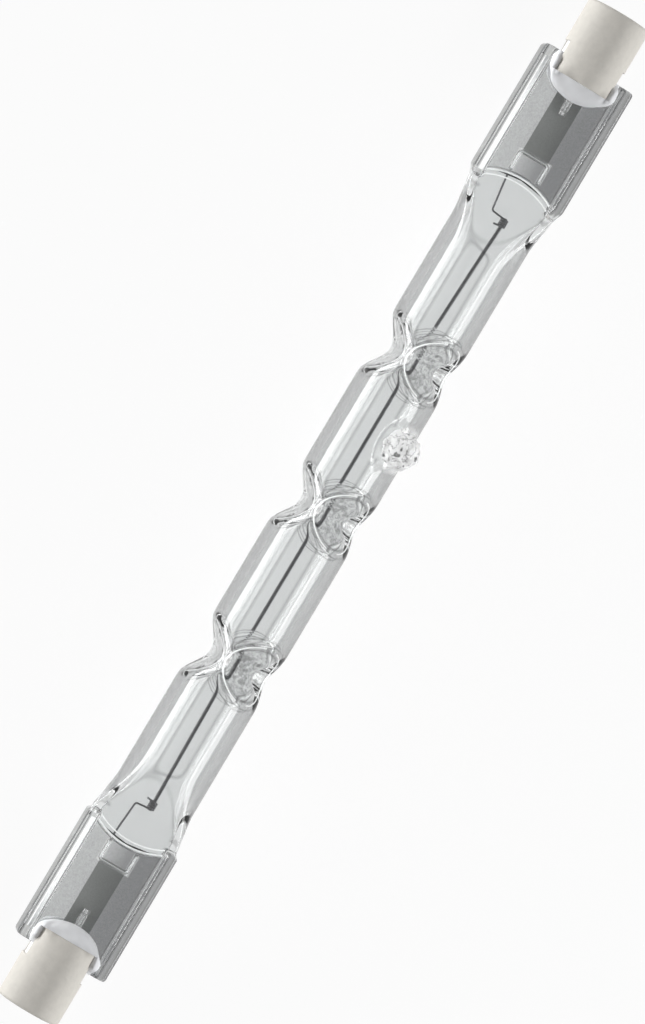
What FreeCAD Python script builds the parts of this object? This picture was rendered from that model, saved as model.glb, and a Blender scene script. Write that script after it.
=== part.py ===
import FreeCAD
import Part
import math
import os

# Linear halogen lamp, double-ended, with a recessed contact in each ceramic cap.
# It is modelled along X about its own axis, with Y across the flat seals and Z out of their
# faces. Both ends are drawn at the low end, -X, and the other end is its mirror image.
# At the very end the lamp is lifted, so that it lies on a floor at Z = 0 with its seals level.
# All sizes are in millimetres and all angles in degrees.

# Overall length, over the faces of the two caps
LAMP_LENGTH = 117.6

# Quartz tube
TUBE_DIAMETER = 8.8
TUBE_WALL = 1.0

# Dent stations: three jaws press the hot tube inwards at each station
STATION_COUNT = 3
STATION_SPACING_SHARE = 0.3055
DENTS_ROUND_TUBE = 3
FIRST_DENT_ANGLE = 84.0
DENT_THROAT_RADIUS = 0.95
DENT_FLOOR_LENGTH = 1.8
DENT_FLANK_ANGLE = 46.0
DENT_CORNER_RADIUS = 0.6
WAIST_DEPTH = 0.5
WAIST_LENGTH = 6.2

# Exhaust tip, where the pumping tube was melted off
TIP_SPACING_SHARE = 0.52
TIP_ANGLE = -40.0
TIP_BASE_DIAMETER = 4.3
TIP_NECK_DIAMETER = 3.7
TIP_BROW_DIAMETER = 3.0
TIP_END_DIAMETER = 1.7
TIP_HEIGHT = 2.4
TIP_LEAN_ANGLE = 5.0
TIP_HOLE_DIAMETER = 0.9
TIP_HOLE_HEIGHT = 0.9

# Pinch seals, of an I section
PINCH_LENGTH = 14.7
PINCH_WIDTH = 10.4
PINCH_CORNER_RADIUS = 0.7
RIB_WIDTH = 1.2
RIB_HEIGHT = 4.2
RIB_ROUND = 0.45
WEB_THICKNESS = 2.3
WEB_FILLET = 0.3

# Shoulder, where the round tube flattens into the seal
SHOULDER_WIDTH = 10.14
SHOULDER_LENGTH = 9.3
SHOULDER_OVERLAP = 0.8
SPREAD_LENGTH = 5.0
PRESS_START = 1.2
PRESS_LENGTH = 6.6
PRESS_FOOT_RADIUS = 3.0
PRESS_CROWN_RADIUS = 4.0

# Hollow of the tube where it runs flat into the seal
CAVITY_END_THICKNESS = 0.85
CAVITY_END_RADIUS = 8.0
CAVITY_END_REACH = 1.9

# Ceramic caps
CAP_DIAMETER = 7.0
CAP_LENGTH = 8.3
CAP_EDGE_BEVEL = 0.3
CAP_DRAFT = 0.05
CAP_SLOT_WIDTH = 3.0
CAP_SLOT_DEPTH = 3.4
CAP_RECESS_DIAMETER = 3.6
CONTACT_DEPTH = 1.7

# Cement between each cap and its seal
CEMENT_BED = 1.4
CEMENT_BED_RADIUS = 3.2
CEMENT_BULGE = 0.35
CEMENT_REACH = 1.6
CEMENT_DOME_LENGTH = 2.5
CEMENT_DOME_FACETS = 3

# Contacts
CONTACT_DIAMETER = 3.14
CONTACT_THICKNESS = 0.4
CONTACT_CLEARANCE = 0.03
SLEEVE_DIAMETER = 1.3
SLEEVE_LENGTH = 1.2
SLEEVE_CLEARANCE = 0.1
PIN_SINK = 0.2

# Pins, foils and lead wires
PIN_DIAMETER = 0.7
PIN_IN_SEAL = 5.5
FOIL_WIDTH = 2.95
FOIL_THICKNESS = 0.03
FOIL_START_IN_SEAL = 1.5
FOIL_LENGTH = 9.4
WELD_SINK = 0.02
WIRE_DIAMETER = 0.22
WIRE_FLATS = 5
HAIRPIN_WIDTH = 3.2
HAIRPIN_BEND = 0.35
HAIRPIN_INSET = 0.25
HAIRPIN_LEG = 2.2
CRANK_BEND = 0.3
COIL_TURNS = 3.5
COIL_FLATS = 10
COIL_PITCH = 0.24
COIL_CLEARANCE = 0.02
STUB_LENGTH = 0.9

# Filament, and where each of its ends lies
FILAMENT_DIAMETER = 0.46
FILAMENT_BORE = 0.2
FILAMENT_BEND = 30.0
FILAMENT_TAIL = 0.15
COIL_DISTANCE = 24.0
RUN_OFFSETS = {"low": 1.3, "high": 1.0}
FILAMENT_OFFSETS = {"low": -0.3, "high": -0.6}

# Values worked out from the sizes above
ORIGIN = FreeCAD.Vector(0, 0, 0)
X_AXIS = FreeCAD.Vector(1, 0, 0)
Y_AXIS = FreeCAD.Vector(0, 1, 0)
Z_AXIS = FreeCAD.Vector(0, 0, 1)
MITRED = 1
LOW_END = -LAMP_LENGTH / 2
TUBE_RADIUS = TUBE_DIAMETER / 2
BORE_RADIUS = TUBE_RADIUS - TUBE_WALL
SLOT_BOTTOM = LOW_END + CAP_LENGTH - CAP_SLOT_DEPTH
CAP_RIM = LOW_END + CAP_LENGTH
PINCH_START = SLOT_BOTTOM + CEMENT_BED
PINCH_END = PINCH_START + PINCH_LENGTH
SHOULDER_START = PINCH_END - SHOULDER_OVERLAP
SHOULDER_END = SHOULDER_START + SHOULDER_LENGTH
CAVITY_START = PINCH_END - CAVITY_END_REACH
STATION_SPACING = -2 * SHOULDER_END * STATION_SPACING_SHARE
STATIONS = [(place - (STATION_COUNT - 1) / 2) * STATION_SPACING for place in range(STATION_COUNT)]
TIP_POSITION = STATION_SPACING * TIP_SPACING_SHARE
PIN_RADIUS = PIN_DIAMETER / 2
WIRE_RADIUS = WIRE_DIAMETER / 2
FILAMENT_RADIUS = FILAMENT_DIAMETER / 2
COIL_FLAT_RADIUS = FILAMENT_RADIUS + COIL_CLEARANCE + WIRE_RADIUS
COIL_RADIUS = COIL_FLAT_RADIUS / math.cos(math.pi / COIL_FLATS)
COIL_START = LOW_END + COIL_DISTANCE
COIL_LENGTH = COIL_PITCH * COIL_TURNS
FOIL_TOP = WELD_SINK - PIN_RADIUS
CONTACT_FACE = LOW_END + CONTACT_DEPTH
CONTACT_SEAT = CONTACT_FACE + CONTACT_THICKNESS
AXIS_HEIGHT = max(TUBE_DIAMETER, CAP_DIAMETER) / 2


# Paths and profiles

def corner_arc(before, corner, after, radius):
    """Give the start, middle and end of the arc that turns a path at a corner."""
    back = (before - corner).normalize()
    ahead = (after - corner).normalize()
    half_turn = (math.pi - back.getAngle(ahead)) / 2
    reach = radius * math.tan(half_turn)
    inward = (back + ahead).normalize()
    middle = corner + inward * (radius / math.cos(half_turn) - radius)
    return corner + back * reach, middle, corner + ahead * reach


def rounded_edges(corners, radii, closed=False):
    """Join the corners by straight edges, with an arc of the given radius at each corner."""
    count = len(corners)
    turns = []
    for place, corner in enumerate(corners):
        at_end = not closed and place in (0, count - 1)
        if at_end or radii[place] == 0:
            turns.append((corner, None, corner))
        else:
            after = corners[(place + 1) % count]
            turns.append(corner_arc(corners[place - 1], corner, after, radii[place]))
    edges = []
    for place, (start, middle, end) in enumerate(turns):
        if middle is not None:
            edges.append(Part.Arc(start, middle, end).toShape())
        if closed or place < count - 1:
            following = turns[(place + 1) % count][0]
            edges.append(Part.LineSegment(end, following).toShape())
    return edges


def face_of(corners, radii):
    """Make a flat face whose outline has rounded corners."""
    return Part.Face(Part.Wire(rounded_edges(corners, radii, closed=True)))


def turned(points):
    """Revolve a profile of (distance along X, radius) points about the lamp's axis."""
    corners = [FreeCAD.Vector(along, 0, radius) for along, radius in points]
    return Part.Face(Part.makePolygon(corners + corners[:1])).revolve(ORIGIN, X_AXIS, 360)


def swept_rod(edges, radius):
    """Sweep a fine wire along a smooth path. Its round section is drawn with a few flats."""
    first = edges[0]
    start = first.valueAt(first.FirstParameter)
    heading = first.tangentAt(first.FirstParameter)
    ring = Part.Circle(start, heading, radius)
    corners = [ring.value(2 * math.pi * place / WIRE_FLATS) for place in range(WIRE_FLATS)]
    section = Part.makePolygon(corners + corners[:1])
    return Part.Wire(edges).makePipeShell([section], True, False, MITRED)


def cylinder_x(radius, start, end):
    """Make a round bar along the lamp's axis."""
    return Part.makeCylinder(radius, end - start, FreeCAD.Vector(start, 0, 0), X_AXIS)


def block(x_range, y_range, z_range):
    """Make a rectangular block from its three ranges."""
    corner = FreeCAD.Vector(x_range[0], y_range[0], z_range[0])
    length = x_range[1] - x_range[0]
    width = y_range[1] - y_range[0]
    return Part.makeBox(length, width, z_range[1] - z_range[0], corner)


def mirrored(shape):
    """Give the same piece at the high end of the lamp."""
    return shape.mirror(ORIGIN, X_AXIS)


# Quartz envelope

def tube_body(radius):
    """Turn the plain tube, with a shallow waist at each dent station."""
    points = [(SHOULDER_END, 0), (SHOULDER_END, radius)]
    for station in STATIONS:
        points += [
            (station - WAIST_LENGTH / 2, radius),
            (station, radius - WAIST_DEPTH),
            (station + WAIST_LENGTH / 2, radius),
        ]
    points += [(-SHOULDER_END, radius), (-SHOULDER_END, 0)]
    return turned(points)


def dent_jaw(offset):
    """Make one jaw that presses a dent, lying over the tube. An offset thickens it all round."""
    flank = math.radians(DENT_FLANK_ANGLE)
    floor = DENT_THROAT_RADIUS + TUBE_WALL - offset
    half_floor = DENT_FLOOR_LENGTH / 2 + offset * math.tan(flank / 2)
    top = TUBE_DIAMETER
    half_top = half_floor + (top - floor) / math.tan(flank)
    corners = [
        FreeCAD.Vector(-half_top, -TUBE_DIAMETER, top),
        FreeCAD.Vector(-half_floor, -TUBE_DIAMETER, floor),
        FreeCAD.Vector(half_floor, -TUBE_DIAMETER, floor),
        FreeCAD.Vector(half_top, -TUBE_DIAMETER, top),
    ]
    bend = DENT_CORNER_RADIUS + offset
    return face_of(corners, [0, bend, bend, 0]).extrude(Y_AXIS * 2 * TUBE_DIAMETER)


def dent_jaws(offset):
    """Set the jaws round the tube at every station."""
    jaws = []
    for station in STATIONS:
        for place in range(DENTS_ROUND_TUBE):
            jaw = dent_jaw(offset)
            angle = FIRST_DENT_ANGLE + place * 360 / DENTS_ROUND_TUBE
            jaw.rotate(ORIGIN, X_AXIS, -angle)
            jaw.translate(X_AXIS * station)
            jaws.append(jaw)
    return jaws


def pressed_end(start, half_width, half_height, end_radius):
    """Flatten the end of a round bar between two jaws. It starts in the seal."""
    spread_end = SHOULDER_START + SPREAD_LENGTH
    spread = turned([
        (start, 0), (start, half_width), (spread_end, end_radius), (SHOULDER_END, end_radius),
        (SHOULDER_END, 0),
    ])
    foot = SHOULDER_START + PRESS_START
    side = [
        (start, half_height, 0),
        (foot, half_height, PRESS_FOOT_RADIUS),
        (foot + PRESS_LENGTH, end_radius, PRESS_CROWN_RADIUS),
        (SHOULDER_END, end_radius, 0),
    ]
    side += [(along, -height, radius) for along, height, radius in reversed(side)]
    corners = [FreeCAD.Vector(along, -TUBE_DIAMETER, height) for along, height, radius in side]
    between_jaws = face_of(corners, [radius for along, height, radius in side])
    return spread.common(between_jaws.extrude(Y_AXIS * 2 * TUBE_DIAMETER))


def shoulder():
    """Make the outside of the tube's end, down to the seal's web."""
    return pressed_end(SHOULDER_START, SHOULDER_WIDTH / 2, WEB_THICKNESS / 2, TUBE_RADIUS)


def cavity_end():
    """Make the hollow's flat end, and close it with an arc across the seal."""
    half_width = SHOULDER_WIDTH / 2 - TUBE_WALL
    half_height = CAVITY_END_THICKNESS / 2
    hollow = pressed_end(2 * CAVITY_START - SHOULDER_START, half_width, half_height, BORE_RADIUS)
    corner = CAVITY_START + CAVITY_END_RADIUS
    corner -= math.sqrt(CAVITY_END_RADIUS ** 2 - half_width ** 2)
    low_corner = FreeCAD.Vector(corner, -half_width, -TUBE_RADIUS)
    high_corner = FreeCAD.Vector(corner, half_width, -TUBE_RADIUS)
    low_mouth = FreeCAD.Vector(SHOULDER_END, -half_width, -TUBE_RADIUS)
    high_mouth = FreeCAD.Vector(SHOULDER_END, half_width, -TUBE_RADIUS)
    arc = Part.Arc(high_corner, FreeCAD.Vector(CAVITY_START, 0, -TUBE_RADIUS), low_corner)
    sides = [(low_corner, low_mouth), (low_mouth, high_mouth), (high_mouth, high_corner)]
    outline = [arc.toShape()] + [Part.LineSegment(a, b).toShape() for a, b in sides]
    plan = Part.Face(Part.Wire(outline)).extrude(Z_AXIS * TUBE_DIAMETER)
    return hollow.common(plan)


def pinch():
    """Make one pinch seal: a flat web with a rib along each edge."""
    edge = PINCH_WIDTH / 2
    inner = edge - RIB_WIDTH
    rib = RIB_HEIGHT / 2
    web = WEB_THICKNESS / 2
    outline = [
        (edge, rib, RIB_ROUND), (inner, rib, RIB_ROUND), (inner, web, WEB_FILLET),
        (-inner, web, WEB_FILLET), (-inner, rib, RIB_ROUND), (-edge, rib, RIB_ROUND),
        (-edge, -rib, RIB_ROUND), (-inner, -rib, RIB_ROUND), (-inner, -web, WEB_FILLET),
        (inner, -web, WEB_FILLET), (inner, -rib, RIB_ROUND), (edge, -rib, RIB_ROUND),
    ]
    corners = [FreeCAD.Vector(PINCH_START, across, up) for across, up, radius in outline]
    section = face_of(corners, [radius for across, up, radius in outline])
    bar = section.extrude(X_AXIS * PINCH_LENGTH)
    plan = [
        FreeCAD.Vector(PINCH_START, -edge, -rib),
        FreeCAD.Vector(PINCH_END, -edge, -rib),
        FreeCAD.Vector(PINCH_END, edge, -rib),
        FreeCAD.Vector(PINCH_START, edge, -rib),
    ]
    slab = face_of(plan, [PINCH_CORNER_RADIUS] * len(plan)).extrude(Z_AXIS * RIB_HEIGHT)
    return bar.common(slab)


def exhaust_tip():
    """Turn the melted-off tip and the narrow hole left in it, and stand both on the tube."""
    base = BORE_RADIUS + TUBE_WALL / 2
    neck = TUBE_RADIUS + TIP_HEIGHT / 4
    brow = TUBE_RADIUS + TIP_HEIGHT * 3 / 4
    end = TUBE_RADIUS + TIP_HEIGHT
    outline = [
        FreeCAD.Vector(0, 0, base),
        FreeCAD.Vector(TIP_BASE_DIAMETER / 2, 0, base),
        FreeCAD.Vector(TIP_BASE_DIAMETER / 2, 0, TUBE_RADIUS),
        FreeCAD.Vector(TIP_NECK_DIAMETER / 2, 0, neck),
        FreeCAD.Vector(TIP_BROW_DIAMETER / 2, 0, brow),
        FreeCAD.Vector(TIP_END_DIAMETER / 2, 0, end),
        FreeCAD.Vector(0, 0, end),
    ]
    knob = Part.Face(Part.makePolygon(outline + outline[:1])).revolve(ORIGIN, Z_AXIS, 360)
    hole_base = BORE_RADIUS - TUBE_WALL / 2
    hole_height = TUBE_RADIUS + TIP_HOLE_HEIGHT - hole_base
    foot = FreeCAD.Vector(0, 0, hole_base)
    hole = Part.makeCylinder(TIP_HOLE_DIAMETER / 2, hole_height, foot, Z_AXIS)
    for part in (knob, hole):
        part.rotate(FreeCAD.Vector(0, 0, TUBE_RADIUS), Y_AXIS, TIP_LEAN_ANGLE)
        part.rotate(ORIGIN, X_AXIS, -TIP_ANGLE)
        part.translate(X_AXIS * TIP_POSITION)
    return knob, hole


def envelope(sealed_in):
    """Blow the whole quartz envelope round its hollow and round the metal sealed in it."""
    knob, hole = exhaust_tip()
    outside = tube_body(TUBE_RADIUS).cut(dent_jaws(0))
    ends = [shoulder(), pinch()]
    outside = outside.fuse(ends + [mirrored(end) for end in ends] + [knob])
    hollow = tube_body(BORE_RADIUS).cut(dent_jaws(TUBE_WALL))
    hollow = hollow.fuse([cavity_end(), mirrored(cavity_end()), hole])
    return outside.cut([hollow] + sealed_in)


# Caps, cement and contacts

def ceramic_cap():
    """Turn the cap with its stepped hole, and cut the slot that straddles the seal."""
    radius = CAP_DIAMETER / 2
    recess = CAP_RECESS_DIAMETER / 2
    seat = CONTACT_DIAMETER / 2 + CONTACT_CLEARANCE
    bore = SLEEVE_DIAMETER / 2 + SLEEVE_CLEARANCE
    outline = [
        (LOW_END, recess), (LOW_END, radius - CAP_EDGE_BEVEL), (LOW_END + CAP_EDGE_BEVEL, radius),
        (SLOT_BOTTOM, radius), (CAP_RIM, radius - CAP_DRAFT), (CAP_RIM, bore),
        (CONTACT_SEAT, bore), (CONTACT_SEAT, seat), (CONTACT_FACE, seat), (CONTACT_FACE, recess),
    ]
    return turned(outline).cut(cap_slot())


def cap_slot():
    """Give the space of the slot across the cap's inner end."""
    half = CAP_SLOT_WIDTH / 2
    across = (-CAP_DIAMETER, CAP_DIAMETER)
    return block((SLOT_BOTTOM, CAP_RIM), across, (-half, half))


def cement(seal, pin):
    """Fill the slot round the seal and dome the cement on to the seal's faces."""
    widest = CAP_DIAMETER / 2 + CEMENT_BULGE
    crown = CAP_RIM + CEMENT_REACH
    outline = [
        (SLOT_BOTTOM, 0), (SLOT_BOTTOM, CEMENT_BED_RADIUS), (PINCH_START, CEMENT_BED_RADIUS),
    ]
    for place in range(CEMENT_DOME_FACETS + 1):
        rise = math.pi / 2 * (1 - place / CEMENT_DOME_FACETS)
        along = crown - CEMENT_DOME_LENGTH * (1 - math.cos(rise))
        outline.append((along, widest * math.sin(rise)))
    plug = turned(outline)
    beyond_rim = block((CAP_RIM, crown + CEMENT_REACH), (-CAP_DIAMETER, CAP_DIAMETER),
                       (-CAP_DIAMETER, CAP_DIAMETER))
    inside = plug.common(cap_slot())
    outside = plug.common(beyond_rim)
    return inside.fuse(outside).cut([seal, pin])


def contact():
    """Turn the contact: a disc at the bottom of the recess, and the sleeve on its pin."""
    disc = CONTACT_DIAMETER / 2
    sleeve = SLEEVE_DIAMETER / 2
    sleeve_end = CONTACT_SEAT + SLEEVE_LENGTH
    outline = [
        (CONTACT_FACE, 0), (CONTACT_FACE, disc), (CONTACT_SEAT, disc), (CONTACT_SEAT, sleeve),
        (sleeve_end, sleeve), (sleeve_end, PIN_RADIUS), (CONTACT_FACE + PIN_SINK, PIN_RADIUS),
        (CONTACT_FACE + PIN_SINK, 0),
    ]
    return turned(outline)


# Pins, foils, leads and filament

def outer_pin():
    """Make the straight pin between the contact and the foil."""
    return cylinder_x(PIN_RADIUS, CONTACT_FACE + PIN_SINK, PINCH_START + PIN_IN_SEAL)


def foil(welded_on):
    """Make the thin strip under the pin and the lead's hairpin, which are sunk in it a little."""
    start = PINCH_START + FOIL_START_IN_SEAL
    half = FOIL_WIDTH / 2
    thickness = (FOIL_TOP - FOIL_THICKNESS, FOIL_TOP)
    return block((start, start + FOIL_LENGTH), (-half, half), thickness).cut(welded_on)


def coil(filament_offset):
    """Give the edges of the turns round the filament. Each turn is drawn with a few straights."""
    corners = []
    for place in range(round(COIL_TURNS * COIL_FLATS) + 1):
        turn = place / COIL_FLATS
        across = filament_offset - COIL_RADIUS * math.sin(2 * math.pi * turn)
        up = -COIL_RADIUS * math.cos(2 * math.pi * turn)
        corners.append(FreeCAD.Vector(COIL_START + COIL_PITCH * turn, across, up))
    return [Part.LineSegment(a, b).toShape() for a, b in zip(corners, corners[1:])]


def lead(run_offset, filament_offset):
    """Bend the lead: a hairpin on the foil, a run, a crank, and turns round the filament."""
    on_foil = FOIL_TOP + WIRE_RADIUS - WELD_SINK
    foil_end = PINCH_START + FOIL_START_IN_SEAL + FOIL_LENGTH
    hairpin = foil_end - HAIRPIN_INSET
    leg = HAIRPIN_WIDTH / 2
    slope = math.atan2(COIL_PITCH, 2 * math.pi * COIL_RADIUS)
    coil_start = FreeCAD.Vector(COIL_START, filament_offset, -COIL_RADIUS)
    crank_height = run_offset - filament_offset
    crank_top = coil_start + FreeCAD.Vector(-crank_height * math.tan(slope), crank_height, 0)
    corners = [
        FreeCAD.Vector(hairpin + HAIRPIN_LEG, -leg, on_foil),
        FreeCAD.Vector(hairpin, -leg, on_foil),
        FreeCAD.Vector(hairpin, leg, on_foil),
        FreeCAD.Vector(hairpin + HAIRPIN_LEG, leg, on_foil),
        crank_top,
        coil_start,
    ]
    radii = [0, HAIRPIN_BEND, HAIRPIN_BEND, FILAMENT_BEND / 2, CRANK_BEND, 0]
    edges = rounded_edges(corners, radii) + coil(filament_offset)
    stub_start = FreeCAD.Vector(COIL_START + COIL_LENGTH, filament_offset, COIL_RADIUS)
    stub_heading = FreeCAD.Vector(math.sin(slope), math.cos(slope), 0)
    stub = Part.LineSegment(stub_start, stub_start + stub_heading * STUB_LENGTH).toShape()
    return swept_rod(edges + [stub], WIRE_RADIUS)


def filament():
    """Sweep the long tungsten coil as a fine tube through the throats of the dents."""
    tail = COIL_START - FILAMENT_TAIL
    past_coil = COIL_START + COIL_LENGTH + FILAMENT_TAIL
    low = FILAMENT_OFFSETS["low"]
    high = FILAMENT_OFFSETS["high"]
    corners = [FreeCAD.Vector(tail, low, 0), FreeCAD.Vector(past_coil, low, 0)]
    corners += [FreeCAD.Vector(STATIONS[0], 0, 0), FreeCAD.Vector(STATIONS[-1], 0, 0)]
    corners += [FreeCAD.Vector(-past_coil, high, 0), FreeCAD.Vector(-tail, high, 0)]
    edges = rounded_edges(corners, [FILAMENT_BEND] * len(corners))
    return swept_rod(edges, FILAMENT_RADIUS).cut(swept_rod(edges, FILAMENT_BORE / 2))


# The whole lamp

def build():
    """Make every piece of the lamp in its own frame."""
    pin = outer_pin()
    leads = {
        "low": lead(RUN_OFFSETS["low"], FILAMENT_OFFSETS["low"]),
        "high": mirrored(lead(RUN_OFFSETS["high"], FILAMENT_OFFSETS["high"])),
    }
    strip = foil([pin, leads["low"]])
    sealed_in = [pin, strip, mirrored(pin), mirrored(strip), leads["low"], leads["high"]]
    paired = {
        "ceramic_cap": ceramic_cap(),
        "cement": cement(pinch(), pin),
        "contact": contact(),
        "outer_pin": pin,
        "foil": strip,
    }
    nodes = {"envelope": envelope(sealed_in), "filament": filament()}
    for name, shape in paired.items():
        nodes[name + "_low"] = shape
        nodes[name + "_high"] = mirrored(shape)
    for side, shape in leads.items():
        nodes["lead_" + side] = shape
    return nodes


def write_parts():
    """Lay the lamp on the floor and write each piece."""
    os.makedirs("parts", exist_ok=True)
    for name, shape in build().items():
        shape.translate(Z_AXIS * AXIS_HEIGHT)
        print(name, "solids", len(shape.Solids), "volume", round(shape.Volume, 2), shape.isValid())
        shape.exportStep("parts/" + name + ".step")


write_parts()
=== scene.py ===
import math

import bpy
import numpy
from mathutils import Matrix, Vector


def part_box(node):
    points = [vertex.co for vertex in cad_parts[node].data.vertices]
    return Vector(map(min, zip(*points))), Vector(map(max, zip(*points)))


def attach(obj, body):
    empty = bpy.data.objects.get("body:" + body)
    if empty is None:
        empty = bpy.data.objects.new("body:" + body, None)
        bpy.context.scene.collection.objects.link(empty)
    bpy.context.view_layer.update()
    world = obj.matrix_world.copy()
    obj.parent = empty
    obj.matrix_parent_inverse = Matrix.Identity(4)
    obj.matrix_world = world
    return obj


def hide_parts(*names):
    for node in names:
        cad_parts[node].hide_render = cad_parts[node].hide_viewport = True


# Linear halogen lamp, double-ended, lying on a pale floor.
# Pieces are drawn in the lamp's own frame in millimetres: X along the axis with 0 at the middle,
# Y across the flat seals and Z out of their faces. to_row() then lifts them and turns them into
# metres. What both ends have is drawn at the low end, where x is less than 0, and mirrored.

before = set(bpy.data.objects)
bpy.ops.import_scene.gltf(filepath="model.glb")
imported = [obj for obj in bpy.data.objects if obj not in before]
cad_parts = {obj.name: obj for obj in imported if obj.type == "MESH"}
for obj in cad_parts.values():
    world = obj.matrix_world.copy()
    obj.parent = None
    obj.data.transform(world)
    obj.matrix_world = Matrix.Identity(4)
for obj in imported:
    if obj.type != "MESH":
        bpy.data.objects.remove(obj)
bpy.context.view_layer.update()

MM = 0.001
# The factor that takes x from the low end, where pieces are drawn, to each end
SIDES = {"low": 1, "high": -1}

# Lamp, from the frame
CAP_BOX = {side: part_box("ceramic_cap_" + side) for side in SIDES}
LENGTH = (CAP_BOX["high"][1].x - CAP_BOX["low"][0].x) / MM
CAP_RADIUS = (CAP_BOX["low"][1].y - CAP_BOX["low"][0].y) / 2 / MM
CAP_LENGTH = (CAP_BOX["low"][1].x - CAP_BOX["low"][0].x) / MM
AXIS = (CAP_BOX["low"][0] + CAP_BOX["high"][1]) / 2
LOW_END = -LENGTH / 2
CAP_RIM = LOW_END + CAP_LENGTH

# Quartz tube
TUBE_RADIUS = AXIS.z / MM
TUBE_WALL = 1.0
STATIONS = (-17.9, 0.0, 17.9)
WAIST_DEPTH = 0.45
WAIST_HALF_LENGTH = 3.4

# Dents, whose angles are from +Z towards +Y
DENT_ANGLES = (84.0, 204.0, 324.0)
DENT_THROAT_RADIUS = 0.95
DENT_HALF_FLOOR = 0.9
DENT_FLOOR_GROWTH = 0.42
DENT_SLOPE = 1.036
DENT_SOFTNESS = 0.9
DENT_SHARPNESS = 18.0
DENT_REACH = 4.2
LEAST_FACING = 0.05
UNDENTED_RADIUS = 1e3
# Painted highlights along the dents' rims: how far their opaque white tubes lie below the skin, and
# their radius
RIM_HIGHLIGHT_DEPTH = 0.36
RIM_HIGHLIGHT_RADIUS = 0.08

# Exhaust tip
TIP_POSITION = 9.3
TIP_ANGLE = -40.0
TIP_BASE_RADIUS = 2.5
TIP_NECK_RADIUS = 1.95
TIP_RADIUS = 2.05
TIP_HEIGHT = 2.3
TIP_FOOT = 4.1
TIP_FULLNESS = 0.75
TIP_LEAST_SHARE = 0.02
TIP_SKIRT = 0.45
TIP_SKIRT_EDGE = 0.6
TIP_SKIRT_SHARE_ALONG = 0.92
TIP_MELT = 0.045
TIP_LEAN = 5.0
TIP_RINGS = 30
TIP_SIDES = 72

# Seals, of an I section
PINCH_START = LOW_END + 6.3
PINCH_END = PINCH_START + 14.7
HALF_WIDTH = 5.2
RIB_WIDTH = 1.2
HALF_RIB = 2.1
RIB_ROUND = 0.45
HALF_WEB = 1.15
WEB_FILLET = 0.3
RIB_FADE = {"low": 0.45, "high": 1.5}
# Rounding of the seal's end: how far each loop is shrunk, and how far it is from the end
END_LOOPS = ((0.35, 0.0), (0.15, 0.06), (0.04, 0.2))
# How far the outline's points are spread evenly round the tube, and not by their distances
EVEN_SHARE = 0.45

# Shoulders and the hollow's flat ends
SHOULDER_HALF_WIDTH = 5.07
SHOULDER_LENGTH = 9.3
SPREAD_START = -1.0
SPREAD_LENGTH = 5.0
PRESS_START = 0.3
PRESS_LENGTH = 7.6
PRESS_SHARPNESS = 5.0
CAVITY_START = PINCH_END - 1.9
CAVITY_HALF_THICKNESS = 0.42
CAVITY_END_RADIUS = 8.0
CAVITY_LIP = 0.45
CAVITY_LIP_LOOPS = (0.0, 0.03, 0.12, 0.27, 0.45)
CAVITY_LIP_TAPER = 0.03
CAVITY_FADE_LENGTH = 0.6 * SHOULDER_LENGTH

# Painted highlights in the glass, drawn as opaque white tubes: each arc's distance past the
# hollow's end, and its radius
HIGHLIGHT_ARCS = ((0.5 * CAVITY_LIP, 0.17), (2 * CAVITY_LIP, 0.08))
HIGHLIGHT_ARC_POINTS = 49
# Painted highlights along the ribs: their distance in from the seal's edge, and their radius
RIB_HIGHLIGHT_INSET = 0.8
RIB_HIGHLIGHT_RADIUS = 0.09

# Spacing of the envelope's sections, and the lengths beside each place that have the fine one
OUTER_STEP, OUTER_FINE_STEP = 0.42, 0.16
OUTER_REACHES = {"station": 4.6, "tip": 3.2, "seal": 1.0}
INNER_STEP, INNER_FINE_STEP = 0.5, 0.2
INNER_REACHES = {"station": 4.2, "tip": 1.2}
INNER_SIDES = 108

# Metal in the seals
PIN_RADIUS = 0.35
WIRE_RADIUS = 0.11
WELD_SINK = 0.02
FOIL_TOP = WELD_SINK - PIN_RADIUS
HAIRPIN_X = PINCH_START + 10.65
HAIRPIN_HALF_WIDTH = 1.6
HAIRPIN_LEG = 2.2
HAIRPIN_BEND = 0.35
WIRE_GAP = 0.11
PIN_GAP = 0.1
PIN_GAP_END = PINCH_START + 5.6
COIL_START = LOW_END + 24.0
COIL_RADIUS = 0.36
COIL_PITCH = 0.24
COIL_TURNS = 3.5
COIL_STEPS = 20
RUN_BEND = 15.0
CRANK_BEND = 0.3
STUB_LENGTH = 0.9
RUN_OFFSETS = {"low": 1.3, "high": 1.0}
FILAMENT_OFFSETS = {"low": -0.3, "high": -0.6}

# Filament
FILAMENT_RADIUS = 0.23
FILAMENT_WIRE_RADIUS = 0.045
FILAMENT_TAIL = 0.15
FILAMENT_STEPS = 8
DENSE_PITCH = 0.13
OPEN_PITCH = 0.34
OPEN_STRETCHES = ((-17.0, -14.0), (0.9, 3.3), (18.3, 21.9))

# Caps
CAP_ROUND = 0.35
CAP_RIM_ROUND = 0.12
CAP_DRAFT = 0.05
SLOT_BOTTOM = LOW_END + 4.9
HALF_SLOT = 1.5
RECESS_RADIUS = 1.8
SEAT_RADIUS = 1.6
PIN_HOLE_RADIUS = 0.75
CONTACT_FACE = LOW_END + 1.7
CONTACT_SEAT = LOW_END + 2.1

# Cement
CEMENT_BED_RADIUS = 3.2
CEMENT_WIDEST = LOW_END + 7.1
CEMENT_HALF_WIDTH = 3.9
CEMENT_SLOT_INSET = 0.3
CEMENT_FULLNESS = 0.45
CEMENT_SINK = 0.03
CEMENT_CROWN_SHARPNESS = 1.6
CEMENT_BESIDE_CAP = 0.85
CEMENT_BESIDE_RADIUS = CAP_RADIUS - 0.1
CEMENT_BESIDE_WIDTH = 0.45
CEMENT_BESIDE_LENGTH = 0.7
CEMENT_HEIGHT = 2.25
CEMENT_CROWN = {"low": LOW_END + 9.95, "high": LOW_END + 10.2}

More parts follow.
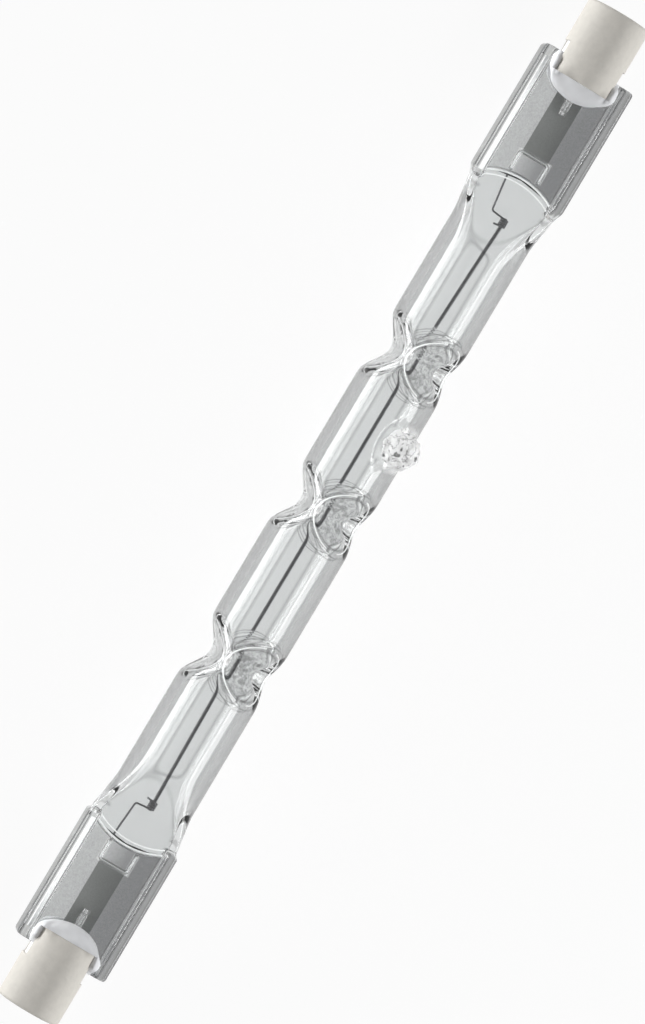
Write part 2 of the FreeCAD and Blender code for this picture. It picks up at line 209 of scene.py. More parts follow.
# Photograph
IMAGE_HEIGHT = 1024
PIXELS_PER_MM = 9.838
AXIS_IN_IMAGE = 59.2
VIEW_FROM_SEAL = 7.0
CENTRE_SHIFT = 1.0
CAMERA_DISTANCE = 0.7
SENSOR_SIZE = 36.0

# Strip lights: name, angle from the view towards the seal's +Y, distance, length, width, radiance
STRIPS = (
    ("strip_upper", 75, 0.45, 0.7, 0.12, 10.0),
    ("strip_lower", -70, 0.45, 0.7, 0.15, 6.0),
)


def to_row(points):
    """Turn lamp millimetres into metres in the row frame."""
    return numpy.asarray(points) * MM + numpy.array(AXIS)


# Mesh helpers

def ramp(value, start, end):
    """Rise smoothly from 0 at start to 1 at end."""
    share = numpy.clip((value - start) / (end - start), 0, 1)
    return share * share * (3 - 2 * share)


def loft(loops, outward=True, caps=True):
    """Give the vertices and faces of a skin over closed loops of points.

    Without caps the last loop is joined to the first.
    """
    rows, count = loops.shape[0], loops.shape[1]
    points = loops.reshape(-1, 3)
    here = numpy.arange(rows * count).reshape(rows, count)
    ahead = numpy.roll(here, -1, axis=1)
    if caps:
        corners = [here[:-1], ahead[:-1], ahead[1:], here[1:]]
    else:
        corners = [here, ahead, numpy.roll(ahead, -1, axis=0), numpy.roll(here, -1, axis=0)]
    faces = numpy.stack([corner.ravel() for corner in corners], axis=1).tolist()
    if caps:
        middles = numpy.array([loops[0].mean(axis=0), loops[-1].mean(axis=0)])
        points = numpy.vstack([points, middles])
        first, last = rows * count, rows * count + 1
        faces += [[first, b, a] for a, b in zip(here[0].tolist(), ahead[0].tolist())]
        faces += [[last, a, b] for a, b in zip(here[-1].tolist(), ahead[-1].tolist())]
    if not outward:
        faces = [face[::-1] for face in faces]
    return points, faces


def joined(shells):
    """Put several shells into one list of vertices and one of faces."""
    points, faces, start = [], [], 0
    for shell_points, shell_faces in shells:
        points.append(shell_points)
        faces += [[corner + start for corner in face] for face in shell_faces]
        start += len(shell_points)
    return numpy.vstack(points), faces


def piece(name, shells, material, node, crease=180.0):
    """Make one piece of the lamp that stands for a CAD node. Bends over the crease stay sharp."""
    points, faces = joined(shells)
    mesh = bpy.data.meshes.new(name)
    mesh.from_pydata(to_row(points).tolist(), [], faces)
    mesh.validate()
    mesh.polygons.foreach_set("use_smooth", [True] * len(mesh.polygons))
    mesh.set_sharp_from_angle(angle=math.radians(crease))
    mesh.materials.append(material)
    made = bpy.data.objects.new(name, mesh)
    bpy.context.scene.collection.objects.link(made)
    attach(made, "root")
    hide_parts(node)
    return made


def tube_along(path, radius, sides, outward=True):
    """Give the skin of a wire along a list of points."""
    path = numpy.asarray(path, float)
    ahead = numpy.gradient(path, axis=0)
    ahead /= numpy.linalg.norm(ahead, axis=1)[:, None]
    across = numpy.zeros_like(path)
    side = numpy.cross(ahead[0], (0.31, 0.52, 0.79))
    for place, heading in enumerate(ahead):
        side = side - heading * side.dot(heading)
        side /= numpy.linalg.norm(side)
        across[place] = side
    over = numpy.cross(ahead, across)
    turn = numpy.linspace(0, 2 * math.pi, sides, endpoint=False)
    loops = path[:, None, :] + radius * (
        numpy.cos(turn)[None, :, None] * across[:, None, :]
        + numpy.sin(turn)[None, :, None] * over[:, None, :]
    )
    return loft(loops, outward)


# Envelope

def pinch_quarter():
    """Give a quarter of the seal's outline, from its edge to the middle of its web."""
    inner = HALF_WIDTH - RIB_WIDTH
    low = RIB_ROUND
    points = [(HALF_WIDTH, z) for z in numpy.linspace(0, HALF_RIB - low, 6)]
    for turn in numpy.linspace(0, math.pi / 2, 6)[1:]:
        y = HALF_WIDTH - low + low * math.cos(turn)
        points.append((y, HALF_RIB - low + low * math.sin(turn)))
    for turn in numpy.linspace(0, math.pi / 2, 6):
        points.append((inner + low - low * math.sin(turn), HALF_RIB - low + low * math.cos(turn)))
    for turn in numpy.linspace(0, math.pi / 2, 6):
        y = inner - WEB_FILLET * (1 - math.cos(turn))
        points.append((y, HALF_WEB + WEB_FILLET * (1 - math.sin(turn))))
    points += [(y, HALF_WEB) for y in numpy.linspace(inner - WEB_FILLET, 0, 19)[1:]]
    return numpy.array(points)


def whole_outline(quarter):
    """Mirror a quarter outline twice into a closed one."""
    upper = numpy.vstack([quarter, quarter[-2::-1] * (-1, 1)])
    return numpy.vstack([upper, upper[-2:0:-1] * (1, -1)])


PINCH_OUTLINE = whole_outline(pinch_quarter())


def outline_angles():
    """Give each outline point its angle round the tube, by its share of the outline's length."""
    quarter = pinch_quarter()
    steps = numpy.hypot(*numpy.diff(quarter, axis=0).T)
    share = numpy.concatenate([[0], numpy.cumsum(steps)]) / steps.sum()
    even = numpy.linspace(0, 1, len(quarter))
    angle = ((1 - EVEN_SHARE) * share + EVEN_SHARE * even) * math.pi / 2
    upper = numpy.concatenate([angle, math.pi - angle[-2::-1]])
    return numpy.concatenate([upper, 2 * math.pi - upper[-2:0:-1]])


OUTLINE_ANGLES = outline_angles()


def dent_distance(beyond, floor):
    """Give how far a dent's face is from the axis at a distance beyond the end of its floor."""
    return floor + DENT_SLOPE * ((beyond + numpy.hypot(beyond, DENT_SOFTNESS)) / 2)


def dent_limits(x, angles, radius, offset):
    """Give the tube's radius with its waists, and the radius to which each dent presses it in.

    The offset is the distance from the outer skin.
    """
    limits = []
    waist = 0.0 * x
    for station in STATIONS:
        away = numpy.abs(x - station)
        waist = numpy.maximum(waist, WAIST_DEPTH * (1 - ramp(away, 0, WAIST_HALF_LENGTH)))
        beyond = away - DENT_HALF_FLOOR - offset * DENT_FLOOR_GROWTH
        distance = dent_distance(beyond, DENT_THROAT_RADIUS + TUBE_WALL - offset)
        for dent in DENT_ANGLES:
            facing = numpy.cos(angles - math.radians(90 - dent))
            pressed = distance / numpy.maximum(facing, LEAST_FACING)
            limits.append(numpy.where(facing > LEAST_FACING, pressed, UNDENTED_RADIUS))
    return radius - waist, limits


def dented(x, angles, radius, offset):
    """Give the tube's radius at each angle, with the waists and the dents pressed in."""
    plain, limits = dent_limits(x, angles, radius, offset)
    total = sum(limit ** -DENT_SHARPNESS for limit in limits) + plain ** -DENT_SHARPNESS
    return total ** (-1 / DENT_SHARPNESS)


def rim_distance(shell, radius, offset):
    """Give how far each point of a skin is from the nearest dent's rim, less than 0 in the dent."""
    points = shell[0]
    angles = numpy.arctan2(points[:, 2], points[:, 1])
    plain, limits = dent_limits(points[:, 0], angles, radius, offset)
    beyond = numpy.array(limits) - plain
    nearest = numpy.abs(beyond).argmin(axis=0)
    return beyond[nearest, numpy.arange(len(points))]


def flattened(x, angles, start_half_width, start_half_height, radius):
    """Give the section of the tube's pressed end, half way between a flat slab and a circle."""
    distance = x - PINCH_END
    widening = 1 - float(ramp(distance, SPREAD_START, SPREAD_LENGTH))
    half_width = radius + (start_half_width - radius) * widening
    rise = float(ramp(distance, PRESS_START, PRESS_START + PRESS_LENGTH))
    height = start_half_height + (radius - start_half_height) * rise
    share = min(height / radius, 0.9999)
    limit = height / (1 - share ** PRESS_SHARPNESS) ** (1 / PRESS_SHARPNESS)
    up = radius * numpy.sin(angles)
    up = up / (1 + (numpy.abs(up) / limit) ** PRESS_SHARPNESS) ** (1 / PRESS_SHARPNESS)
    return numpy.stack([half_width * numpy.cos(angles), up], axis=1)


def tip_skirt(x, angles):
    """Give how far the tube swells under the exhaust tip at each angle."""
    from_tip = angles - math.radians(90 - TIP_ANGLE)
    across = TUBE_RADIUS * (numpy.mod(from_tip + math.pi, 2 * math.pi) - math.pi)
    away = numpy.hypot((x - TIP_POSITION) * TIP_SKIRT_SHARE_ALONG, across)
    return TIP_SKIRT * (1 - ramp(away, TIP_NECK_RADIUS, TIP_BASE_RADIUS + TIP_SKIRT_EDGE))


def tip_shell():
    """Draw the melted-off tip as a low, crinkled drop on the tube."""
    turn = numpy.linspace(0, 2 * math.pi, TIP_SIDES, endpoint=False)
    loops = []
    for share in numpy.linspace(0.0, 1.0, TIP_RINGS):
        drop = share * math.pi / 2
        reach = TIP_RADIUS * max(TIP_LEAST_SHARE, math.cos(drop)) ** TIP_FULLNESS
        height = TIP_FOOT + (TUBE_RADIUS + TIP_HEIGHT - TIP_FOOT) * math.sin(drop)
        folds = numpy.sin(5 * turn + 7 * share) + 0.7 * numpy.sin(9 * turn - 12 * share)
        folds += numpy.sin(24 * share)
        reach = reach * (1 + TIP_MELT * folds)
        height = height + TIP_MELT * folds * share
        loops.append(numpy.column_stack([reach * numpy.cos(turn), reach * numpy.sin(turn), height]))
    points, faces = loft(numpy.array(loops))
    lean = Matrix.Rotation(math.radians(TIP_LEAN), 3, "Y")
    aim = Matrix.Rotation(math.radians(-TIP_ANGLE), 3, "X")
    points = points - (0, 0, TUBE_RADIUS)
    points = points @ numpy.array(lean).T + (0, 0, TUBE_RADIUS)
    return points @ numpy.array(aim).T + (TIP_POSITION, 0, 0), faces


def along_tube(start, end, step, fine, finer_at):
    """Space the sections: evenly, and finer near the named places."""
    places = [start]
    while places[-1] < end:
        here = places[-1]
        near = any(abs(here - place) < reach for place, reach in finer_at)
        places.append(min(end, here + (fine if near else step)))
    return places


def outer_section(x):
    """Give one section of the outside of the envelope."""
    side = "low" if x < 0 else "high"
    from_middle = -abs(x)
    if from_middle < PINCH_END + SHOULDER_LENGTH:
        tube = flattened(from_middle, OUTLINE_ANGLES, SHOULDER_HALF_WIDTH, HALF_WEB, TUBE_RADIUS)
        fade = RIB_FADE[side]
        share = float(ramp(from_middle, PINCH_END - fade / 2, PINCH_END + fade / 2))
        outline = PINCH_OUTLINE * (1 - share) + tube * share
    else:
        angles = OUTLINE_ANGLES
        radius = dented(x, angles, TUBE_RADIUS, 0) + tip_skirt(x, angles)
        outline = numpy.stack([radius * numpy.cos(angles), radius * numpy.sin(angles)], axis=1)
    return numpy.column_stack([numpy.full(len(outline), x), outline])


def end_loops(side):
    """Round off the end of a seal with smaller loops before its first full one."""
    loops = []
    for inset, along in END_LOOPS:
        shrunk = PINCH_OUTLINE * (1 - inset / HALF_WIDTH, 1)
        z = shrunk[:, 1]
        shrunk[:, 1] -= numpy.sign(z) * numpy.minimum(inset, numpy.abs(z) * 0.5)
        x = SIDES[side] * (PINCH_START + along)
        loops.append(numpy.column_stack([numpy.full(len(shrunk), x), shrunk]))
    return loops if side == "low" else loops[::-1]


def cavity_sag(across):
    """Give how far the arc at the hollow's end has bent back at a distance across the seal."""
    return CAVITY_END_RADIUS - numpy.sqrt(CAVITY_END_RADIUS ** 2 - across ** 2)


def inner_section(x, angles):
    """Give one section of the hollow. Its flat ends are bent into an arc across the seal."""
    from_middle = -abs(x)
    sign = -1 if x < 0 else 1
    half_width = SHOULDER_HALF_WIDTH - TUBE_WALL
    radius = TUBE_RADIUS - TUBE_WALL
    along = numpy.full(len(angles), float(x))
    if from_middle < PINCH_END + SHOULDER_LENGTH:
        outline = flattened(from_middle, angles, half_width, CAVITY_HALF_THICKNESS, radius)
        into = (from_middle - CAVITY_START) / CAVITY_LIP
        if into < 1:
            outline[:, 1] *= math.sqrt(max(0.0, 1 - (1 - into) ** 2))
            outline[:, 0] *= 1 - CAVITY_LIP_TAPER * (1 - into)
        fade = 1 - float(ramp(from_middle, CAVITY_START, PINCH_END + CAVITY_FADE_LENGTH))
        along -= sign * cavity_sag(outline[:, 0]) * fade
    else:
        reach = dented(x, angles, radius, TUBE_WALL)
        outline = numpy.stack([reach * numpy.cos(angles), reach * numpy.sin(angles)], axis=1)
    return numpy.column_stack([along, outline])


def envelope_shells():
    """Give the outside of the envelope, its hollow, and the fine gaps round hairpins and pins."""
    fine = [(station, OUTER_REACHES["station"]) for station in STATIONS]
    fine += [(TIP_POSITION, OUTER_REACHES["tip"])]
    fine += [(PINCH_END, OUTER_REACHES["seal"]), (-PINCH_END, OUTER_REACHES["seal"])]
    start = PINCH_START + 0.4
    places = along_tube(start, -start, OUTER_STEP, OUTER_FINE_STEP, fine)
    outside = end_loops("low") + [outer_section(x) for x in places] + end_loops("high")
    angles = numpy.linspace(0, 2 * math.pi, INNER_SIDES, endpoint=False)
    lip = [CAVITY_START + inset for inset in CAVITY_LIP_LOOPS]
    fine = [(station, INNER_REACHES["station"]) for station in STATIONS]
    fine += [(TIP_POSITION, INNER_REACHES["tip"])]
    start = lip[-1] + 0.2
    places = along_tube(start, -start, INNER_STEP, INNER_FINE_STEP, fine)
    places = lip + places + [-x for x in reversed(lip)]
    hollow = [inner_section(x, angles) for x in places]
    shells = [loft(numpy.array(outside)), loft(numpy.array(hollow), outward=False)]
    for side in SIDES:
        shells.append(tube_along(hairpin_gap(side), WIRE_RADIUS + WIRE_GAP, 16, outward=False))
        channel = straight((PINCH_START + 0.1, 0, 0), (PIN_GAP_END, 0, 0), 0.5)
        shells.append(tube_along(at_end(channel, side), PIN_RADIUS + PIN_GAP, 32, outward=False))
    return shells


def dent_rim_highlights():
    """Lay painted highlights, white tubes, along each dent's rim, where the folded glass shines."""
    shells = []
    for station in STATIONS:
        away = numpy.linspace(-1, 1, 61) * DENT_REACH
        plain = dent_limits(station + away, 0.0, TUBE_RADIUS, 0.0)[0]
        distance = dent_distance(numpy.abs(away) - DENT_HALF_FLOOR, DENT_THROAT_RADIUS + TUBE_WALL)
        spread = numpy.arccos(numpy.clip(distance / plain, -1, 1))
        for dent in DENT_ANGLES:
            for way in (-1, 1):
                turn = math.radians(90 - dent) + way * spread
                reach = plain - RIM_HIGHLIGHT_DEPTH
                y, z = reach * numpy.cos(turn), reach * numpy.sin(turn)
                path = numpy.column_stack([station + away, y, z])
                shells.append(tube_along(path[spread > 0.02], RIM_HIGHLIGHT_RADIUS, 8))
    return shells


def painted_highlight_edges(side):
    """Paint highlights, as white tubes, where the hollow's rounded end and the ribs' inner edges
    shine.
    """
    outward = SIDES[side] > 0
    half_width = (SHOULDER_HALF_WIDTH - TUBE_WALL) * 0.95
    across = numpy.linspace(-1, 1, HIGHLIGHT_ARC_POINTS) * half_width
    level = numpy.zeros(HIGHLIGHT_ARC_POINTS)
    shells = []
    for inset, radius in HIGHLIGHT_ARCS:
        path = numpy.column_stack([CAVITY_START + inset + cavity_sag(across), across, level])
        shells.append(tube_along(at_end(path, side), radius, 12, outward))
    for edge in (-1, 1):
        y = edge * (HALF_WIDTH - RIB_HIGHLIGHT_INSET)
        path = straight((PINCH_START + 0.6, y, 0), (PINCH_END - 0.2, y, 0), 0.5)
        shells.append(tube_along(at_end(path, side), RIB_HIGHLIGHT_RADIUS, 8, outward))
    return shells


# Wires

def arc_corner(before, corner, after, radius, steps):
    """Give the points of a rounded corner."""
    before, corner, after = (numpy.array(point, float) for point in (before, corner, after))
    back = (before - corner) / numpy.linalg.norm(before - corner)
    ahead = (after - corner) / numpy.linalg.norm(after - corner)
    half_turn = (math.pi - math.acos(numpy.clip(back.dot(ahead), -1, 1))) / 2
    inward = (back + ahead) / numpy.linalg.norm(back + ahead)
    centre = corner + inward * radius / math.cos(half_turn)
    start = corner + back * radius * math.tan(half_turn) - centre
    end = corner + ahead * radius * math.tan(half_turn) - centre
    total = 2 * half_turn
    return [
        centre + (math.sin(total - turn) * start + math.sin(turn) * end) / math.sin(total)
        for turn in numpy.linspace(0, total, steps)
    ]


def straight(start, end, step):
    """Give evenly spaced points between two points, without the ends."""
    start, end = numpy.array(start, float), numpy.array(end, float)
    count = max(2, int(numpy.linalg.norm(end - start) / step))
    return [start + (end - start) * share for share in numpy.linspace(0, 1, count + 1)[1:-1]]


def rounded_path(corners, radii, step=0.5):
    """Give a path through corners with a round bend at each."""
    path = [numpy.array(corners[0], float)]
    for place in range(1, len(corners) - 1):
        bend = arc_corner(corners[place - 1], corners[place], corners[place + 1], radii[place], 10)
        path += straight(path[-1], bend[0], step) + bend
    path += straight(path[-1], corners[-1], step) + [numpy.array(corners[-1], float)]
    return numpy.array(path)


def hairpin_corners():
    """Give the corners of the flat U that lies on the foil."""
    height = FOIL_TOP + WIRE_RADIUS - WELD_SINK
    leg = HAIRPIN_HALF_WIDTH
    open_end = HAIRPIN_X + HAIRPIN_LEG
    return [
        (open_end, -leg, height), (HAIRPIN_X, -leg, height),
        (HAIRPIN_X, leg, height), (open_end, leg, height),
    ]


def at_end(path, side):
    """Place a path drawn at the low end at either end of the lamp."""
    return numpy.asarray(path) * (SIDES[side], 1, 1)


def hairpin_gap(side):
    """Give the path of the fine gap round the part of the lead that is in the glass."""
    corners = hairpin_corners()
    sealed = CAVITY_START + 0.06
    corners[0] = (sealed, corners[0][1], corners[0][2])
    corners[3] = (sealed, corners[3][1], corners[3][2])
    return at_end(rounded_path(corners, [0, HAIRPIN_BEND, HAIRPIN_BEND, 0], 0.3), side)


def lead_path(side):
    """Give the lead's line: hairpin, run, crank, turns round the filament and a short stub."""
    offset = FILAMENT_OFFSETS[side]
    run = RUN_OFFSETS[side]
    slope = COIL_PITCH / (2 * math.pi * COIL_RADIUS)
    crank = (COIL_START - (run - offset) * slope, run, -COIL_RADIUS)
    coil_start = (COIL_START, offset, -COIL_RADIUS)
    corners = hairpin_corners() + [crank, coil_start]
    path = rounded_path(corners, [0, HAIRPIN_BEND, HAIRPIN_BEND, RUN_BEND, CRANK_BEND, 0])
    turns = numpy.linspace(0, COIL_TURNS * 2 * math.pi, int(COIL_TURNS * COIL_STEPS))
    coil = numpy.column_stack([
        COIL_START + COIL_PITCH * turns / (2 * math.pi),
        offset - COIL_RADIUS * numpy.sin(turns),
        -COIL_RADIUS * numpy.cos(turns),
    ])
    stub = coil[-1] + numpy.array([slope, 1, 0]) * STUB_LENGTH
    return at_end(numpy.vstack([path, coil[1:], [stub]]), side)


def filament_shells():
    """Wind the filament: close turns, with the stretched ones beside the dents."""
    places = []
    along = COIL_START - FILAMENT_TAIL
    end = -along
    while along < end:
        open_here = any(low < along < high for low, high in OPEN_STRETCHES)
        places.append(along)
        along += (OPEN_PITCH if open_here else DENSE_PITCH) / FILAMENT_STEPS
    along = numpy.array(places)
    bends = [COIL_START + 1.0, STATIONS[0], STATIONS[-1], -COIL_START - 1.0]
    offset = numpy.interp(along, bends, [FILAMENT_OFFSETS["low"], 0, 0, FILAMENT_OFFSETS["high"]])
    turn = numpy.arange(len(along)) * 2 * math.pi / FILAMENT_STEPS
    reach = FILAMENT_RADIUS - FILAMENT_WIRE_RADIUS
    path = numpy.column_stack([along, offset + reach * numpy.cos(turn), reach * numpy.sin(turn)])
    return [tube_along(path, FILAMENT_WIRE_RADIUS, 4)]


# Caps and cement

def mirrored(shell, side):
    """Place a shell drawn at the low end at either end of the lamp."""
    points, faces = shell
    if SIDES[side] < 0:
        faces = [face[::-1] for face in faces]
    return at_end(points, side), faces


def turned(profile, sides=96):
    """Turn a closed profile of (x, radius) points about the axis."""
    turn = numpy.linspace(0, 2 * math.pi, sides, endpoint=False)
    circle = numpy.column_stack([numpy.cos(turn), numpy.sin(turn)])
    rings = [numpy.column_stack([numpy.full(sides, x), radius * circle]) for x, radius in profile]
    return loft(numpy.array(rings), caps=False)


def cap_cheek(up):
    """Make one of the two cheeks that straddle the seal. Up is 1 or -1."""
    sections = [
        (SLOT_BOTTOM - 0.3, 0.0), (SLOT_BOTTOM, 0.0), (CAP_RIM - CAP_RIM_ROUND, CAP_DRAFT),
        (CAP_RIM - 0.3 * CAP_RIM_ROUND, CAP_DRAFT + 0.3 * CAP_RIM_ROUND),
        (CAP_RIM, CAP_DRAFT + CAP_RIM_ROUND),
    ]
    arc_points, chord_points = 40, 20
    loops = []
    for x, inset in sections:
        radius = CAP_RADIUS - inset
        floor = HALF_SLOT + max(0.0, inset - CAP_DRAFT)
        start = math.asin(floor / radius)
        turn = numpy.linspace(start, math.pi - start, arc_points)
        arc = numpy.column_stack([radius * numpy.cos(turn), radius * numpy.sin(turn)])
        across = numpy.linspace(arc[-1, 0], arc[0, 0], chord_points + 2)[1:-1]
        chord = numpy.column_stack([across, numpy.full(chord_points, floor)])
        outline = numpy.vstack([arc, chord]) * up
        loops.append(numpy.column_stack([numpy.full(len(outline), x), outline]))
    return loft(numpy.array(loops))


def cap_shells(side):
    """Make a cap: the turned part with its stepped hole, and the two cheeks."""
    profile = [(LOW_END, RECESS_RADIUS)]
    for turn in numpy.linspace(0, math.pi / 2, 6):
        x = LOW_END + CAP_ROUND * (1 - math.sin(turn))
        profile.append((x, CAP_RADIUS - CAP_ROUND * (1 - math.cos(turn))))
    profile[1:] = profile[:0:-1]
    profile += [
        (SLOT_BOTTOM, CAP_RADIUS), (SLOT_BOTTOM, PIN_HOLE_RADIUS), (CONTACT_SEAT, PIN_HOLE_RADIUS),
        (CONTACT_SEAT, SEAT_RADIUS), (CONTACT_FACE, SEAT_RADIUS), (CONTACT_FACE, RECESS_RADIUS),
    ]
    shells = [turned(profile), cap_cheek(1), cap_cheek(-1)]
    return [mirrored(shell, side) for shell in shells]


def lumps(x, turn, phase):
    """Give the slow unevenness of hand-laid cement, as a share of its size."""
    return (
        0.03 * numpy.sin(3 * turn + 1.9 * x + phase)
        + 0.022 * numpy.sin(7 * turn - 2.7 * x + 2 * phase)
        + 0.012 * numpy.sin(13 * turn + 4.1 * x + 3 * phase)
    )


def cement_lobe(side, up):
    """Lay the cement over one face of the seal's web, from the slot to its crown."""
    crown = CEMENT_CROWN[side]
    phase = 1.7 * up + SIDES[side]
    turn = numpy.linspace(0, math.pi, 49)
    places = list(numpy.linspace(PINCH_START - 0.05, CAP_RIM - 0.02, 14))
    to_crown = (1 - numpy.linspace(0, 0.995, 22)) ** CEMENT_CROWN_SHARPNESS
    places += list(crown - (crown - CAP_RIM) * to_crown)
    loops = []
    for x in places:
        out_of_slot = float(ramp(x, PINCH_START, CEMENT_WIDEST))
        spread = CEMENT_HALF_WIDTH - CEMENT_SLOT_INSET * (1 - out_of_slot)
        beyond = max(0.0, x - CEMENT_WIDEST) / (crown - CEMENT_WIDEST)
        uneven = 1 + lumps(x, turn, phase)
        across = spread * math.sqrt(1 - beyond ** 2) * numpy.cos(turn) * uneven
        rise = (HALF_SLOT - HALF_WEB + CEMENT_SINK) * numpy.sin(turn) ** CEMENT_FULLNESS
        if x >= CAP_RIM:
            dome = CEMENT_HEIGHT * math.sqrt(1 - ((x - CAP_RIM) / (crown - CAP_RIM)) ** 2)
            rise = dome * numpy.sin(turn) ** CEMENT_FULLNESS * uneven
        off_side = (numpy.abs(across) - CEMENT_BESIDE_RADIUS) / CEMENT_BESIDE_WIDTH
        beside = numpy.exp(-off_side ** 2) * numpy.sin(turn) ** 0.3
        beside = beside * float(ramp(x, CEMENT_WIDEST - CEMENT_BESIDE_LENGTH, CEMENT_WIDEST))
        height = HALF_WEB - CEMENT_SINK + rise + CEMENT_BESIDE_CAP * beside
        outline = numpy.column_stack([across, height]) * up
        loops.append(numpy.column_stack([numpy.full(len(turn), x), outline]))
    return mirrored(loft(numpy.array(loops)), side)


def cement_bed(side):
    """Fill the bottom of the slot behind the seal."""
    turn = numpy.linspace(0, 2 * math.pi, 72, endpoint=False)
    outline = CEMENT_BED_RADIUS * numpy.column_stack([numpy.cos(turn), numpy.sin(turn)])
    outline[:, 1] = numpy.clip(outline[:, 1], -HALF_SLOT + 0.02, HALF_SLOT - 0.02)
    places = numpy.linspace(SLOT_BOTTOM + 0.01, PINCH_START + 0.06, 6)
    loops = [numpy.column_stack([numpy.full(len(turn), x), outline]) for x in places]
    return mirrored(loft(numpy.array(loops)), side)


def cement_shells(side):
    """Make the cement at one end."""
    return [cement_bed(side), cement_lobe(side, 1), cement_lobe(side, -1)]


# Materials. Each list of tints is a ramp of greys: a place on the ramp and the tint there.

CLEAR_QUARTZ = (0.82, 0.83, 0.83)
QUARTZ_IOR = 1.458
# Painted shade on the seals' webs: grey for the shaded floor seen through them, darker towards -Y
# as a painted shadow
WEB_SHADE_LIGHT = (0.56, 0.57, 0.57)
WEB_SHADE_DARK = (0.25, 0.255, 0.26)
# Painted highlight on the part of each lead sealed in the glass
SEALED_WIRE_HIGHLIGHT = (0.85, 0.86, 0.86)
WEB_GRAIN, DENT_GRAIN, MELT_GRAIN = 6000.0, 800.0, 900.0
# Painted shade: dark lines along the tube's sides, by how steeply its skin slants from the ray
SLANT_SHADE_TINTS = (
    (0.0, 1.0), (0.035, 1.0), (0.055, 0.5), (0.075, 1.0), (0.23, 1.0), (0.27, 0.55),
    (0.32, 0.75), (0.42, 0.55), (0.6, 0.38), (1.0, 0.25),
)
# Painted shade at the outer edge of the seals' ribs
RIB_SHADE_TINTS = ((0.0, 1.0), (0.91, 1.0), (0.94, 0.25), (1.0, 0.12))
WEB_TINTS = ((0.0, 0.85), (0.4, 0.9), (0.6, 1.04), (1.0, 1.08))
MELT_TINTS = (
    (0.0, 0.1), (0.36, 0.15), (0.41, 1.0), (0.52, 1.0), (0.55, 0.3), (0.58, 1.0), (1.0, 1.0),
)
DENT_TINTS = (
    (0.0, 0.4), (0.38, 0.5), (0.45, 1.0), (0.53, 1.0), (0.57, 0.6), (0.62, 1.0), (1.0, 1.0),
)
# Painted shade: dark lines on both sides of each dent's rim
RIM_SHADE_TINTS = (
    (0.0, 1.0), (0.26, 1.0), (0.32, 0.35), (0.38, 1.0), (0.62, 1.0), (0.68, 0.35), (0.74, 1.0),
    (1.0, 1.0),
)

# Where the tints of the quartz begin and are in full, in millimetres
WEB_BEFORE_ARC = (0.5, 0.1)
WEB_INSIDE_EDGE = (0.75, 1.0)
WEB_OFF_MIDDLE = (0.7 * HALF_WEB, 0.9 * HALF_WEB)
# Painted shadow: the webs' grey goes from dark to light between these places across the seal
WEB_SHADOW_DARK_TO_LIGHT = (-2.2, 2.6)
SEAL_BEFORE_END = (0.0, 0.4)
# Where the lead's painted highlight begins and is in full
LEAD_ROUND_CAVITY_START = (0.3, -0.3)
WALL_BELOW_SKIN = (0.85, 0.4)
TIP_ABOVE_SKIN = (0.4, 0.15)
DENT_FROM_RIM = (-0.45, -0.9)
GAP_BLUR = 0.06

# How brightly the floor and the room show, straight on and by glass or metal
FLOOR_STRAIGHT_ON = 0.93
FLOOR_BY_GLASS = 0.5
FLOOR_FAR_BY_GLASS = 0.4
FLOOR_NEAR = 7.0
FLOOR_FAR = 16.0
ROOM_BY_GLASS = 0.85
ROOM_LIGHT = 0.1


def calculated(tree, operation, *values):
    """Add a maths node, whose inputs are sockets or numbers, and give its result."""
    node = tree.nodes.new("ShaderNodeMath")
    node.operation = operation
    for place, value in enumerate(values):
        if isinstance(value, (int, float)):
            node.inputs[place].default_value = value
        else:
            tree.links.new(value, node.inputs[place])
    return node.outputs[0]


def product(tree, first, *others):
    """Multiply several values."""
    for other in others:
        first = calculated(tree, "MULTIPLY", first, other)
    return first


def smooth_step(tree, value, start, end):
    """Add a node that rises smoothly from 0 at start to 1 at end."""
    node = tree.nodes.new("ShaderNodeMapRange")
    node.interpolation_type = "SMOOTHSTEP"
    node.inputs["From Min"].default_value = start
    node.inputs["From Max"].default_value = end
    tree.links.new(value, node.inputs["Value"])
    return node.outputs["Result"]


def step_mm(tree, value, start, end):
    """Rise smoothly from 0 to 1 between two places in millimetres. The value is in metres."""
    return smooth_step(tree, value, start * MM, end * MM)


def mixed(tree, share, first, second, kind="MIX"):
    """Add a node that mixes two colours, which are sockets or numbers."""
    node = tree.nodes.new("ShaderNodeMix")
    node.data_type = "RGBA"
    node.blend_type = kind
    for name, value in (("Factor", share), ("A", first), ("B", second)):
        if isinstance(value, tuple):
            node.inputs[name].default_value = (*value, 1)
        elif isinstance(value, float):
            node.inputs[name].default_value = value
        else:
            tree.links.new(value, node.inputs[name])
    return node.outputs["Result"]


def times(tree, color, tint):
    """Multiply a colour by a tint."""
    return mixed(tree, 1.0, color, tint, "MULTIPLY")


def tint_ramp(tree, value, tints):
    """Add a ramp of greys over a value from 0 to 1."""
    node = tree.nodes.new("ShaderNodeValToRGB")
    elements = node.color_ramp.elements
    while len(elements) < len(tints):
        elements.new(0.5)
    for element, (place, tint) in zip(elements, tints):
        element.position = place
        element.color = (tint, tint, tint, 1)
    tree.links.new(value, node.inputs["Fac"])
    return node.outputs["Color"]


def noise_value(tree, scale, detail):
    """Add a fine noise that stays with the piece."""
    coordinates = tree.nodes.new("ShaderNodeTexCoord")
    texture = tree.nodes.new("ShaderNodeTexNoise")
    texture.inputs["Scale"].default_value = scale
    texture.inputs["Detail"].default_value = detail
    tree.links.new(coordinates.outputs["Object"], texture.inputs["Vector"])
    return texture.outputs["Fac"]


def mottled(tree, scale, tints):
    """Add a fine mottle of greys."""
    return tint_ramp(tree, noise_value(tree, scale, 3.0), tints)


